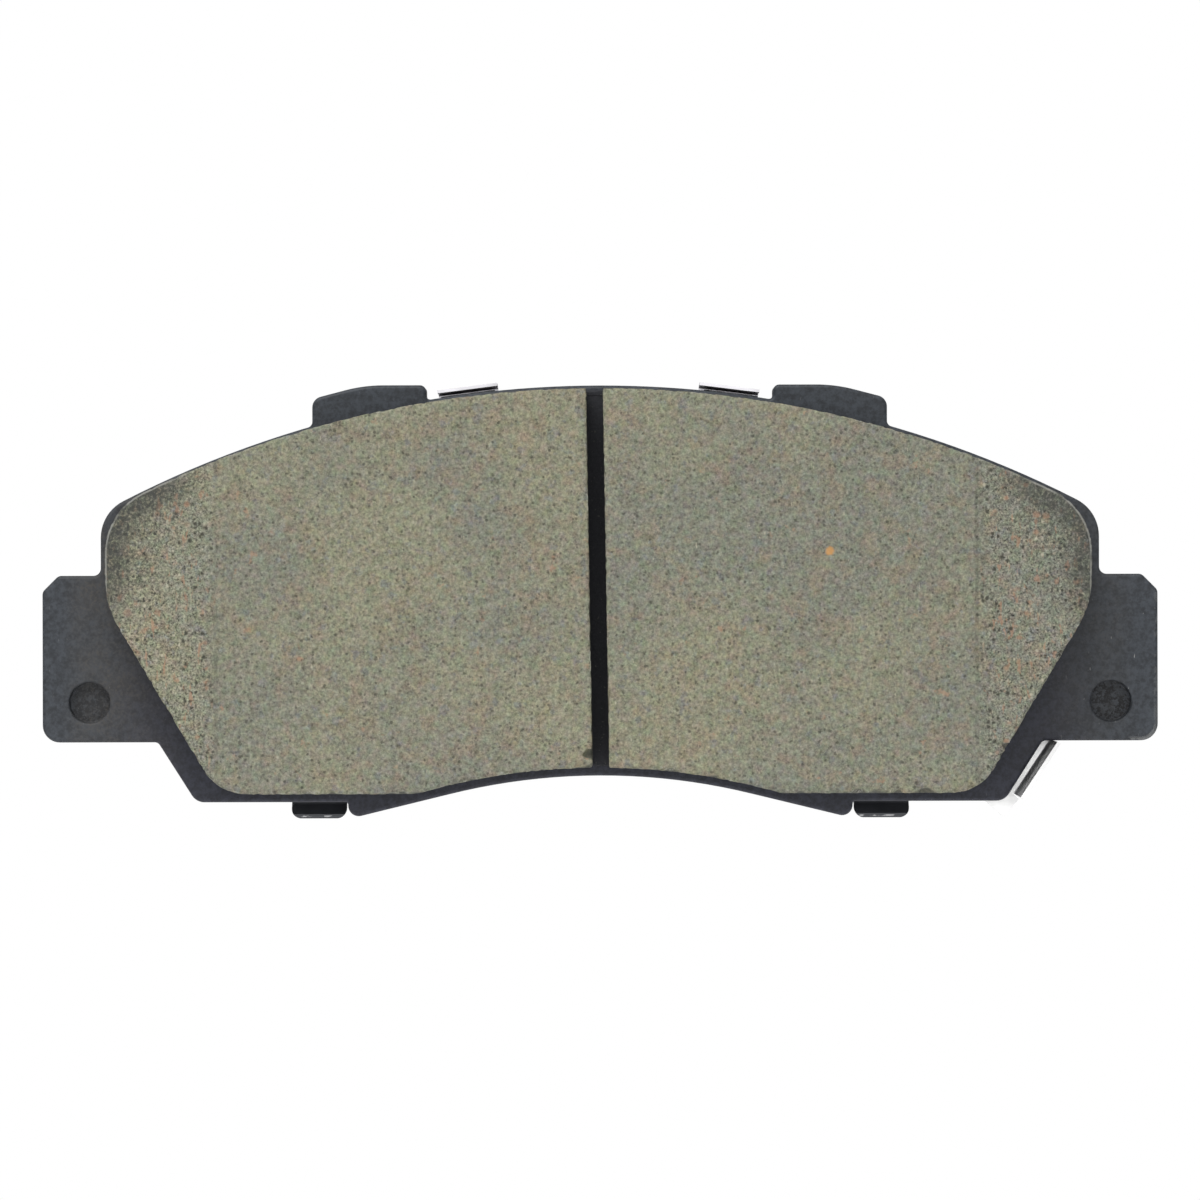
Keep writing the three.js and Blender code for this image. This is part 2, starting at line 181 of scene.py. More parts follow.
class FinishSettings(bpy.types.PropertyGroup):
    friction: colour_prop("Friction", "Khaki-grey friction compound", (0.264, 0.256, 0.180))
    friction_cool: colour_prop("Friction, cool", "Greyer zones of it", (0.218, 0.220, 0.174))
    clay: colour_prop("Clay", "Brownish zones", (0.268, 0.214, 0.150))
    sage: colour_prop("Sage", "Greenish zones", (0.200, 0.218, 0.150))
    mica: colour_prop("Mica", "Bluish-grey patches", (0.178, 0.190, 0.194))
    copper: colour_prop("Copper", "Copper and brick-coloured flecks", (0.40, 0.235, 0.150))
    coarse_grain: colour_prop("Coarse grain", "The largest copper grain", (0.60, 0.31, 0.10))
    pore: colour_prop("Pores", "Dark specks and open pores", (0.052, 0.052, 0.040))
    fibre: colour_prop("Fibres", "Pale fibres and grains", (0.54, 0.50, 0.38))
    # Painted shade: the dark colour laid into the pushed-in pips' recesses.
    painted_pip_shade: colour_prop("Pip shade", "Rough floor of a pushed-in pip", (0.016, 0.016, 0.017))
    skin: colour_prop("Skin", "Dark skin left by the mould", (0.060, 0.062, 0.056))
    # Painted highlight along the lining's rim, and the pale flakes of its crumbled lower edge.
    rim_glint_and_flakes: colour_prop("Rim glint and flakes", "Rubbed rim of the lining", (0.40, 0.40, 0.37))
    bond: colour_prop("Bonding layer", "Dark layer under the lining", (0.036, 0.037, 0.042))
    coat: colour_prop("Powder coat", "Blue-black plate coating", (0.043, 0.049, 0.058))
    # Painted shade: the darker, bluer coating low in the plate's middle, below the lining.
    coat_painted_shade: colour_prop("Powder coat, low", "Deeper blue below", (0.036, 0.038, 0.051))
    dust: colour_prop("Dust", "Grey-brown dust on the coating", (0.085, 0.077, 0.068))
    worn: colour_prop("Worn coat", "Bare and scuffed edges", (0.42, 0.42, 0.41))
    rubber: colour_prop("Rubber", "Shim coating", (0.045, 0.048, 0.054))
    core: colour_prop("Shim core", "Cut steel core of the shim", (0.50, 0.50, 0.51))
    stainless: colour_prop("Stainless", "Outer shim", (0.70, 0.69, 0.72))
    spring: colour_prop("Spring steel", "Wear indicator", (0.90, 0.90, 0.895))
    floor: colour_prop("Floor", "Pale floor", (0.86, 0.86, 0.86))


class StageSettings(bpy.types.PropertyGroup):
    distance: FloatProperty(
        name="Camera distance",
        description="From the plate's disc side to the camera",
        default=0.74,
        unit="LENGTH",
        subtype="DISTANCE",
    )
    width: FloatProperty(
        name="View width",
        description="What the camera takes in at the plate's disc side",
        default=0.16025,
        unit="LENGTH",
        subtype="DISTANCE",
    )
    roll: FloatProperty(
        name="Roll",
        description="Turn of the camera about its own line of sight",
        default=math.radians(0.12),
        subtype="ANGLE",
    )
    floor_drop: length_prop("Floor drop", "From the pad's lowest point to the floor", 75.0)
    glow: FloatProperty(
        name="Glow",
        description="Brightness of the white surroundings as the pad receives it",
        default=0.45,
        min=0.0,
    )


def settings():
    scene = bpy.context.scene
    return scene.pad_plate, scene.pad_lining, scene.pad_sheet, scene.pad_finish, scene.pad_stage


# --- Mesh tools ---------------------------------------------------------------------------------


def alone(piece):
    bpy.ops.object.select_all(action="DESELECT")
    piece.select_set(True)
    bpy.context.view_layer.objects.active = piece


@contextmanager
def editing(piece, mode="EDGE"):
    """Edit mode with nothing selected; gives the mesh for selecting in code."""
    alone(piece)
    bpy.ops.object.mode_set(mode="EDIT")
    bpy.ops.mesh.select_mode(type=mode)
    bpy.ops.mesh.select_all(action="DESELECT")
    yield bmesh.from_edit_mesh(piece.data)
    bpy.ops.object.mode_set(mode="OBJECT")


def chosen(piece, mesh, elements):
    """Selects only these elements of the mesh that is being edited."""
    bpy.ops.mesh.select_all(action="DESELECT")
    for element in elements:
        element.select_set(True)
    mesh.select_flush_mode()
    bmesh.update_edit_mesh(piece.data)


def copy_of(node, name, cuts=()):
    """A copy of a plain solid with its loose triangles merged into whole faces.

    A face with holes is cut at these X, through the holes' middles, and stays cut there, so that
    its edges meet the outline squarely.
    """
    alone(frame["nodes"][node])
    bpy.ops.object.duplicate()
    piece = bpy.context.object
    bpy.ops.object.parent_clear(type="CLEAR_KEEP_TRANSFORM")
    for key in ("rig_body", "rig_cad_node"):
        if key in piece:
            del piece[key]
    piece.name = name
    with editing(piece):
        bpy.ops.mesh.select_all(action="SELECT")
        bpy.ops.mesh.remove_doubles(threshold=0.002 * MM)
        for x in cuts:
            bpy.ops.mesh.select_all(action="SELECT")
            bpy.ops.mesh.bisect(plane_co=(x * MM, 0, 0), plane_no=(1, 0, 0))
            bpy.ops.mesh.mark_seam()
        bpy.ops.mesh.select_all(action="SELECT")
        bpy.ops.mesh.dissolve_limited(angle_limit=math.radians(0.4), delimit={"SEAM"})
        bpy.ops.mesh.mark_seam(clear=True)
        bpy.ops.mesh.customdata_custom_splitnormals_clear()
    return piece


def rim(mesh, plane_y, facing, within=None):
    """The edges round a flat face that lies at plane_y and looks along Y towards facing."""
    found = []
    for edge in mesh.edges:
        if len(edge.link_faces) != 2:
            continue
        flats = [f for f in edge.link_faces if f.normal.y * facing > 0.99]
        middle = (edge.verts[0].co + edge.verts[1].co) / 2
        if len(flats) != 1 or abs(middle.y - plane_y) > 0.01 * MM:
            continue
        if within is None or within(middle):
            found.append(edge)
    return found


def round_off(piece, mesh, edges, width, segments):
    chosen(piece, mesh, edges)
    bpy.ops.mesh.bevel(offset=width, segments=segments, affect="EDGES", clamp_overlap=False)


def round_rim(piece, plane_y, facing, width, segments=3, within=None):
    with editing(piece) as mesh:
        round_off(piece, mesh, rim(mesh, plane_y, facing, within), width, segments)


def round_sharp(piece, width, segments=2, angle=60.0):
    """Rounds every edge that turns by more than the angle."""
    with editing(piece) as mesh:
        sharp = [e for e in mesh.edges if len(e.link_faces) == 2]
        sharp = [e for e in sharp if e.calc_face_angle(0.0) > math.radians(angle)]
        chosen(piece, mesh, sharp)
        bpy.ops.mesh.bevel(offset=width, segments=segments, affect="EDGES", clamp_overlap=True)


def applied(piece, kind, **values):
    """Adds a modifier, sets it and applies it."""
    alone(piece)
    modifier = piece.modifiers.new(kind.title(), kind)
    for name, value in values.items():
        setattr(modifier, name, value)
    bpy.ops.object.modifier_apply(modifier=modifier.name)


def finish_piece(piece, body, nodes, material, angle=35.0, sheet=True):
    """Shades, colours and registers a piece. A sheet's flats stay flat beside its round edges."""
    alone(piece)
    bpy.ops.object.shade_smooth_by_angle(angle=math.radians(angle))
    if sheet:
        applied(piece, "WEIGHTED_NORMAL", keep_sharp=True, weight=100)
    piece.data.materials.clear()
    piece.data.materials.append(material)
    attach(piece, body)
    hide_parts(*nodes)


# --- Node tools ---------------------------------------------------------------------------------


class Tree:
    """Adds nodes to a tree. An input's value is a number, a colour or another node's output."""

    def __init__(self, tree):
        self.tree = tree
        self.column = 0

    def add(self, kind, inputs=None, **values):
        made = self.tree.nodes.new(kind)
        made.location = (self.column * 190, 0)
        self.column += 1
        for name, value in values.items():
            setattr(made, name, value)
        for name, value in (inputs or {}).items():
            self.feed(made.inputs[name], value)
        return made

    def feed(self, socket, value):
        if isinstance(value, bpy.types.NodeSocket):
            self.tree.links.new(value, socket)
        elif socket.type == "RGBA" and len(value) == 3:
            socket.default_value = (*value, 1.0)
        else:
            socket.default_value = value

    def noise(self, vector, scale, detail=2.0, rough=0.5, distort=0.0, **more):
        inputs = {
            "Vector": vector,
            "Scale": scale,
            "Detail": detail,
            "Roughness": rough,
            "Distortion": distort,
        }
        return self.add("ShaderNodeTexNoise", inputs, **more).outputs[0]

    def math(self, operation, a, b=0.0, clamp=False):
        made = self.add("ShaderNodeMath", {0: a, 1: b}, operation=operation, use_clamp=clamp)
        return made.outputs[0]

    def distance(self, a, b):
        """The length of the sloping side of a right-angled triangle with these two sides."""
        squares = self.math("ADD", self.math("MULTIPLY", a, a), self.math("MULTIPLY", b, b))
        return self.math("SQRT", squares)

    def ramp(self, value, low, high, to_low=0.0, to_high=1.0):
        """A smooth step of the value between low and high."""
        inputs = {
            "Value": value,
            "From Min": low,
            "From Max": high,
            "To Min": to_low,
            "To Max": to_high,
        }
        made = self.add("ShaderNodeMapRange", inputs, interpolation_type="SMOOTHSTEP")
        return made.outputs[0]

    def mix(self, factor, a, b, blend="MIX"):
        inputs = {0: factor, 6: a, 7: b}
        made = self.add("ShaderNodeMix", inputs, data_type="RGBA", blend_type=blend)
        return made.outputs[2]

    def place(self, scale=(1.0, 1.0, 1.0), move=(0.0, 0.0, 0.0), turn=(0.0, 0.0, 0.0)):
        """Object coordinates in millimetres, scaled again per axis."""
        coords = self.add("ShaderNodeTexCoord").outputs["Object"]
        inputs = {
            "Vector": coords,
            "Scale": [s / MM for s in scale],
            "Location": move,
            "Rotation": turn,
        }
        return self.add("ShaderNodeMapping", inputs).outputs[0]

    def group(self, tree, **inputs):
        made = self.add("ShaderNodeGroup", node_tree=tree)
        for name, value in inputs.items():
            self.feed(made.inputs[name.replace("_", " ").capitalize()], value)
        return made.outputs

    def patches(
        self, move, scale, level, softness, stretch=(1.0, 1.0, 1.0), turn=(0.0, 0.0, 0.0)
    ):
        specks = shared("Specks", build_specks)
        vector = self.place(scale=stretch, move=move, turn=turn)
        return self.group(specks, vector=vector, scale=scale, level=level, softness=softness)[0]

    def spots(self, move, scale, share, size):
        dots = shared("Dots", build_dots)
        vector = self.place(move=move)
        return self.group(dots, vector=vector, scale=scale, share=share, size=size)[0]

    def laid_on(self, mask, strength, under, over):
        return self.mix(self.math("MULTIPLY", mask, strength), under, over)


def new_group(name, inputs, outputs):
    """A shader node group with these sockets; gives the group and its tree builder and ends."""
    group = bpy.data.node_groups.new(name, "ShaderNodeTree")
    for socket, (kind, default) in inputs.items():
        made = group.interface.new_socket(socket, in_out="INPUT", socket_type=kind)
        if default is not None:
            made.default_value = default
    for socket, kind in outputs.items():
        group.interface.new_socket(socket, in_out="OUTPUT", socket_type=kind)
    tree = Tree(group)
    start = tree.add("NodeGroupInput").outputs
    end = tree.add("NodeGroupOutput").inputs
    return group, tree, start, end


def shared(name, build):
    """The group of this name, built at its first use."""
    return bpy.data.node_groups.get(name) or build(name)


def build_specks(name):
    """Irregular specks: a noise cut off at a level, with soft or hard edges."""
    group, tree, start, end = new_group(
        name,
        {
            "Vector": ("NodeSocketVector", None),
            "Scale": ("NodeSocketFloat", 1.0),
            "Level": ("NodeSocketFloat", 0.6),
            "Softness": ("NodeSocketFloat", 0.04),
        },
        {"Mask": "NodeSocketFloat"},
    )
    field = tree.noise(start["Vector"], start["Scale"], detail=3.0, rough=0.55)
    top = tree.math("ADD", start["Level"], start["Softness"])
    tree.feed(end["Mask"], tree.ramp(field, start["Level"], top))
    return group


def build_dots(name):
    """Round specks of mixed sizes: one in some cells of a random grid."""
    group, tree, start, end = new_group(
        name,
        {
            "Vector": ("NodeSocketVector", None),
            "Scale": ("NodeSocketFloat", 1.0),
            "Share": ("NodeSocketFloat", 0.5),
            "Size": ("NodeSocketFloat", 0.3),
        },
        {"Mask": "NodeSocketFloat"},
    )
    wobble = tree.add("ShaderNodeTexNoise", {"Vector": start["Vector"], "Scale": 4.0})
    shift = tree.add("ShaderNodeVectorMath", {0: wobble.outputs["Color"], 1: (0.3, 0.3, 0.3)})
    shift.operation = "MULTIPLY"
    moved = tree.add("ShaderNodeVectorMath", {0: start["Vector"], 1: shift.outputs[0]})
    inputs = {"Vector": moved.outputs[0], "Scale": start["Scale"]}
    cells = tree.add("ShaderNodeTexVoronoi", inputs).outputs
    chance = tree.add("ShaderNodeSeparateColor", {0: cells["Color"]}).outputs
    radius = tree.math("MULTIPLY", start["Size"], tree.math("ADD", chance[1], 0.3))
    inner = tree.math("MULTIPLY", radius, 0.35)
    dot = tree.ramp(cells["Distance"], radius, inner)
    present = tree.ramp(tree.math("SUBTRACT", chance[0], start["Share"]), 0.0, -0.1)
    tree.feed(end["Mask"], tree.math("MULTIPLY", dot, present))
    return group


def build_wear_and_glint(name):
    """Near a convex edge, broken up by noise: worn coatings and edges, and painted edge
    highlights.
    """
    group, tree, start, end = new_group(
        name,
        {
            "Vector": ("NodeSocketVector", None),
            "Reach": ("NodeSocketFloat", 0.4 * MM),
            "Amount": ("NodeSocketFloat", 0.5),
        },
        {"Mask": "NodeSocketFloat"},
    )
    rounded = tree.add("ShaderNodeBevel", {"Radius": start["Reach"]}, samples=4).outputs[0]
    true = tree.add("ShaderNodeNewGeometry").outputs["Normal"]
    dot = tree.add("ShaderNodeVectorMath", {0: rounded, 1: true}, operation="DOT_PRODUCT")
    edge = tree.ramp(dot.outputs["Value"], 0.999, 0.93)
    patch = tree.noise(start["Vector"], 0.9, detail=4.0, rough=0.65)
    level = tree.math("SUBTRACT", 1.0, start["Amount"])
    broken = tree.ramp(patch, level, tree.math("ADD", level, 0.12))
    tree.feed(end["Mask"], tree.math("MULTIPLY", edge, broken))
    return group


def build_grain(name):
    """A fine uneven height, for bumps, with coarse and fine parts."""
    group, tree, start, end = new_group(
        name,
        {
            "Vector": ("NodeSocketVector", None),
            "Scale": ("NodeSocketFloat", 2.0),
            "Fine": ("NodeSocketFloat", 0.5),
        },
        {"Height": "NodeSocketFloat"},
    )
    coarse = tree.noise(start["Vector"], start["Scale"], detail=2.0)
    fine_scale = tree.math("MULTIPLY", start["Scale"], 5.0)
    fine = tree.noise(start["Vector"], fine_scale, detail=3.0, rough=0.6)
    tree.feed(end["Height"], tree.math("ADD", coarse, tree.math("MULTIPLY", fine, start["Fine"])))
    return group


def build_rolled(name):
    """Long fine streaks of rolled or brushed sheet, from a vector stretched along the streaks."""
    group, tree, start, end = new_group(
        name,
        {"Vector": ("NodeSocketVector", None), "Contrast": ("NodeSocketFloat", 0.3)},
        {"Streaks": "NodeSocketFloat"},
    )
    fine = tree.noise(start["Vector"], 6.0, detail=4.0, rough=0.7)
    broad = tree.noise(start["Vector"], 0.7, detail=2.0)
    both = tree.math("ADD", tree.math("MULTIPLY", fine, 0.7), tree.math("MULTIPLY", broad, 0.3))
    centred = tree.math("SUBTRACT", both, 0.5)
    tree.feed(end["Streaks"], tree.math("MULTIPLY", centred, start["Contrast"]))
    return group


def new_material(name):
    material = bpy.data.materials.new(name)
    material.use_nodes = True
    material.node_tree.nodes.clear()
    tree = Tree(material.node_tree)
    surface = tree.add("ShaderNodeBsdfPrincipled")
    output = tree.add("ShaderNodeOutputMaterial")
    tree.feed(output.inputs["Surface"], surface.outputs[0])
    return material, tree, surface.inputs


def bump(tree, height, strength, distance):
    inputs = {"Height": height, "Strength": strength, "Distance": distance * MM}
    return tree.add("ShaderNodeBump", inputs).outputs[0]


# --- Finishes -----------------------------------------------------------------------------------


def rim_distance(tree, axis):
    """How far a point of the lining lies inside its upper outline, in millimetres.

    The outline is a large arc, then a fillet, then the straight end.
    """
    x = tree.math("ADD", axis["X"], LINING_SHIFT)
    away = tree.math("ABSOLUTE", x)
    from_arc = tree.distance(x, tree.math("ADD", axis["Z"], TOP_CENTRE_DROP))
    reach = LINING_REACH - LINING_FILLET
    radius = TOP_RADIUS - LINING_FILLET
    fillet_rise = math.sqrt(radius**2 - reach**2)
    across = tree.math("SUBTRACT", away, reach)
    straight = tree.math("MAXIMUM", across, tree.math("SUBTRACT", from_arc, radius))

    rise = tree.math("SUBTRACT", axis["Z"], fillet_rise - TOP_CENTRE_DROP)
    under_arc = tree.math("MULTIPLY", across, fillet_rise / reach)
    under_arc = tree.math("SUBTRACT", under_arc, rise)
    in_fillet = tree.math("GREATER_THAN", tree.math("MINIMUM", rise, under_arc), 0.0)
    rounded = tree.distance(across, rise)
    gap = tree.math("MULTIPLY", in_fillet, tree.math("SUBTRACT", rounded, straight))
    return tree.math("SUBTRACT", LINING_FILLET, tree.math("ADD", straight, gap))


def lower_distance(tree, axis):
    """How far a point of the lining lies above its lower outline, in millimetres."""
    x = tree.math("ADD", axis["X"], LINING_SHIFT)
    from_arc = tree.distance(x, tree.math("ADD", axis["Z"], BELLY_CENTRE_DROP))
    over_belly = tree.math("SUBTRACT", from_arc, BELLY_RADIUS)
    return tree.math("MINIMUM", over_belly, tree.math("ADD", axis["Z"], LINING_BOTTOM_DROP))


def face_depth(tree, axis):
    """How far a point lies behind the ground face, in millimetres, also on the sloping ends."""
    left, right = RIDGES
    from_middle = tree.math("ABSOLUTE", tree.math("SUBTRACT", axis["X"], (left + right) / 2))
    past_ridge = tree.math("SUBTRACT", from_middle, (right - left) / 2)
    past_ridge = tree.math("MAXIMUM", past_ridge, 0.0)
    behind = tree.math("SUBTRACT", axis["Y"], FACE_Y / MM)
    return tree.math("SUBTRACT", behind, tree.math("MULTIPLY", past_ridge, END_SLOPE))


def end_zones(tree, axis, uneven):
    """1 beyond the lines where the ground-down ends begin, with a ragged start."""
    left, right = RIDGES
    shift = tree.math("MULTIPLY", tree.math("SUBTRACT", uneven, 0.5), 3.0)
    x = tree.math("ADD", axis["X"], shift)
    beyond_left = tree.ramp(x, left + 0.85, left - 2.35)
    return tree.math("MAXIMUM", beyond_left, tree.ramp(x, right - 0.85, right + 2.75))


def ground_compound(tree, here, axis, ends, fine, uneven, colours):
    """The ground face: khaki and grey zones, copper, pores and fibres. Colour and pores."""
    broad = tree.noise(here, 0.045, detail=2.0)
    to_right = tree.ramp(axis["X"], -20.0, 70.0, 0.0, 0.3)
    cool = tree.math("ADD", tree.ramp(broad, 0.36, 0.64), to_right, clamp=True)
    colour = tree.mix(cool, colours.friction, colours.friction_cool)
    colour = tree.laid_on(tree.patches((31, 0, 7), 0.33, 0.5, 0.14), 0.45, colour, colours.clay)
    colour = tree.laid_on(tree.patches((3, 8, 61), 0.42, 0.5, 0.2), 0.5, colour, colours.sage)
    colour = tree.laid_on(tree.patches((0, 9, 53), 0.7, 0.58, 0.1), 0.45, colour, colours.mica)
    tinge = tree.add("ShaderNodeTexNoise", {"Vector": here, "Scale": 1.0, "Detail": 2.0})
    colour = tree.mix(0.2, colour, tinge.outputs["Color"], blend="SOFT_LIGHT")

    gain = tree.math("ADD", 2.1, tree.math("MULTIPLY", ends, 0.5))
    value = tree.math("MULTIPLY", tree.math("SUBTRACT", fine, 0.5), gain)
    finer = tree.noise(tree.place(move=(7, 1, 4)), 4.2, detail=2.0, rough=0.7)
    gain = tree.math("ADD", 0.9, tree.math("MULTIPLY", ends, 1.9))
    more = tree.math("MULTIPLY", tree.math("SUBTRACT", finer, 0.5), gain)
    value = tree.math("ADD", tree.math("ADD", value, more), 1.0)
    grey = tree.add("ShaderNodeCombineColor", {0: value, 1: value, 2: value}).outputs[0]
    colour = tree.mix(1.0, colour, grey, blend="MULTIPLY")

    cluster = tree.noise(tree.place(move=(5, 3, 11)), 0.11, detail=2.0)
    level = tree.math("SUBTRACT", 0.84, tree.math("MULTIPLY", cluster, 0.34))
    level = tree.math("SUBTRACT", level, tree.math("MULTIPLY", ends, 0.05))
    colour = tree.laid_on(tree.patches((17, 5, 3), 0.6, level, 0.12), 0.55, colour, colours.copper)
    share = tree.math("ADD", 0.01, tree.math("MULTIPLY", ends, 0.13))
    colour = tree.laid_on(tree.spots((21, 4, 8), 0.75, share, 0.5), 0.7, colour, colours.copper)
    drawn = tree.patches((12, 3, 5), 0.9, 0.6, 0.08, stretch=(1.4, 1.0, 0.45))
    colour = tree.laid_on(tree.math("MULTIPLY", drawn, ends), 0.6, colour, colours.copper)
    grain_x, grain_z = (
        tree.math("SUBTRACT", axis[name], place) for name, place in zip("XZ", COARSE_GRAIN)
    )
    from_grain = tree.distance(grain_x, grain_z)
    from_grain = tree.math("ADD", from_grain, tree.math("MULTIPLY", fine, 0.5))
    colour = tree.laid_on(tree.ramp(from_grain, 1.0, 0.6), 0.8, colour, colours.coarse_grain)

    crowd = tree.ramp(tree.noise(tree.place(move=(6, 2, 1)), 0.25, detail=2.0), 0.4, 0.62)
    share = tree.math("ADD", 0.3, tree.math("MULTIPLY", crowd, 0.35))
    small = tree.spots((3, 2, 29), 1.35, share, 0.34)
    share = tree.math("MULTIPLY", tree.math("ADD", 0.14, tree.math("MULTIPLY", ends, 0.7)), crowd)
    large = tree.spots((8, 1, 4), 1.15, share, 0.38)
    pores = tree.math("MAXIMUM", small, large)
    strength = tree.math("ADD", 0.62, tree.math("MULTIPLY", ends, 0.3))
    colour = tree.laid_on(pores, strength, colour, colours.pore)
    turned = (0.0, 0.6, 0.0)
    fibres = tree.patches((0, 0, 0), 1.5, 0.69, 0.05, stretch=(1.7, 1.0, 0.6), turn=turned)
    colour = tree.laid_on(fibres, 0.5, colour, colours.fibre)
    share = tree.math("ADD", 0.05, tree.math("MULTIPLY", ends, 0.2))
    colour = tree.laid_on(tree.spots((40, 7, 2), 1.3, share, 0.36), 0.7, colour, colours.fibre)

    left_line, right_line = (
        tree.math("ABSOLUTE", tree.math("SUBTRACT", axis["X"], x)) for x in RIDGES
    )
    ridge = tree.ramp(tree.math("MINIMUM", left_line, right_line), 0.35, 0.1)
    colour = tree.laid_on(ridge, tree.ramp(uneven, 0.35, 0.6, 0.05, 0.3), colour, colours.pore)
    return colour, pores


def moulded_rim(tree, colour, here, axis, fine, uneven, scores, colours):
    """Lays the mould's dark skin, a painted highlight along the rim and pale crumbled flakes over
    the ground face's colour.
    """
    rim = rim_distance(tree, axis)
    low_rim = lower_distance(tree, axis)
    near_ends = tree.ramp(tree.math("ABSOLUTE", axis["X"]), 50.0, 59.0)
    both = tree.math("SUBTRACT", tree.math("ADD", uneven, scores), 1.0)
    inward = tree.math("ADD", rim, tree.math("MULTIPLY", both, 3.0))
    skin = tree.math("MULTIPLY", tree.ramp(inward, 5.0, 1.2), tree.ramp(fine, 0.7, 0.4, 0.5, 0.95))
    halo = tree.math("MULTIPLY", tree.ramp(inward, 10.0, 3.0), tree.ramp(fine, 0.6, 0.4, 0.1, 0.5))
    skin = tree.math("MULTIPLY", tree.math("MAXIMUM", skin, halo), near_ends)
    skin = tree.math("MULTIPLY", skin, tree.ramp(axis["Z"], -5.0, 5.0))
    colour = tree.laid_on(skin, tree.ramp(axis["X"], -40.0, 40.0, 1.0, 0.9), colour, colours.skin)
    depth = face_depth(tree, axis)
    colour = tree.laid_on(tree.ramp(depth, 0.3, 1.0), 0.75, colour, colours.skin)

    on_face = tree.ramp(depth, 0.8, 0.3)
    # Painted highlight: a thin light line just inside the rim near the ends.
    line = tree.math("MULTIPLY", tree.ramp(rim, 0.36, 0.24), tree.ramp(rim, 0.0, 0.12))
    line = tree.math("MULTIPLY", line, on_face)
    line = tree.math("MULTIPLY", line, near_ends)
    line = tree.math("MULTIPLY", line, tree.ramp(uneven, 0.3, 0.5))
    flaked = tree.ramp(tree.noise(tree.place(move=(4, 0, 4)), 0.5, detail=2.0), 0.52, 0.62)
    crumbly = tree.math("MULTIPLY", tree.ramp(low_rim, 0.8, 0.3), tree.ramp(fine, 0.5, 0.6))
    crumbly = tree.math("MULTIPLY", crumbly, flaked)
    # Painted highlight along the face's convex rim; the crumbled lower edge's pale flakes share
    # its colour.
    edge_mask = shared("Edge wear and glint", build_wear_and_glint)
    rim_glint_and_flakes = tree.group(edge_mask, vector=here, reach=0.3 * MM, amount=0.55)["Mask"]
    rim_glint_and_flakes = tree.math("MAXIMUM", tree.math("MULTIPLY", rim_glint_and_flakes, on_face), line)
    rim_glint_and_flakes = tree.math("MAXIMUM", rim_glint_and_flakes, crumbly)
    colour = tree.laid_on(rim_glint_and_flakes, 0.55, colour, colours.rim_glint_and_flakes)
    return colour


def friction_material(colours):
    """Moulded and ground compound: khaki-grey, with pores, copper, mica and fibres."""
    material, tree, surface = new_material("friction_compound")
    grain = shared("Grain", build_grain)
    here = tree.place()
    axis = tree.add("ShaderNodeSeparateXYZ", {0: here}).outputs
    uneven = tree.noise(tree.place(move=(2, 0, 9)), 0.3, detail=3.0, rough=0.6)
    fine = tree.noise(here, 2.6, detail=3.0, rough=0.65)
    scores = tree.noise(tree.place(scale=(1.0, 1.0, 0.02)), 2.4, detail=3.0, rough=0.6)
    ends = end_zones(tree, axis, uneven)
    colour, pores = ground_compound(tree, here, axis, ends, fine, uneven, colours)
    colour = moulded_rim(tree, colour, here, axis, fine, uneven, scores, colours)

    height = tree.group(grain, vector=here, scale=2.4, fine=0.7)["Height"]
    height = tree.math("SUBTRACT", height, tree.math("MULTIPLY", pores, 0.9))
    height = tree.math("ADD", height, tree.math("MULTIPLY", scores, 0.6))
    tree.feed(surface["Base Color"], colour)
    tree.feed(surface["Roughness"], tree.ramp(fine, 0.3, 0.7, 0.78, 0.95))
    tree.feed(surface["Normal"], bump(tree, height, 0.5, 0.12))
    surface["Specular IOR Level"].default_value = 0.3
    return material


def bonding_material(colours):
    material, tree, surface = new_material("bonding_layer")
    specks = shared("Specks", build_specks)
    grain = shared("Grain", build_grain)
    here = tree.place()
    pale = tree.group(specks, vector=here, scale=2.2, level=0.64, softness=0.08)["Mask"]
    colour = tree.mix(tree.math("MULTIPLY", pale, 0.35), colours.bond, colours.friction_cool)
    height = tree.group(grain, vector=here, scale=1.6, fine=0.6)["Height"]
    tree.feed(surface["Base Color"], colour)
    tree.feed(surface["Roughness"], tree.ramp(height, 0.5, 1.1, 0.8, 0.96))
    tree.feed(surface["Normal"], bump(tree, height, 0.7, 0.15))
    surface["Specular IOR Level"].default_value = 0.3
    return material


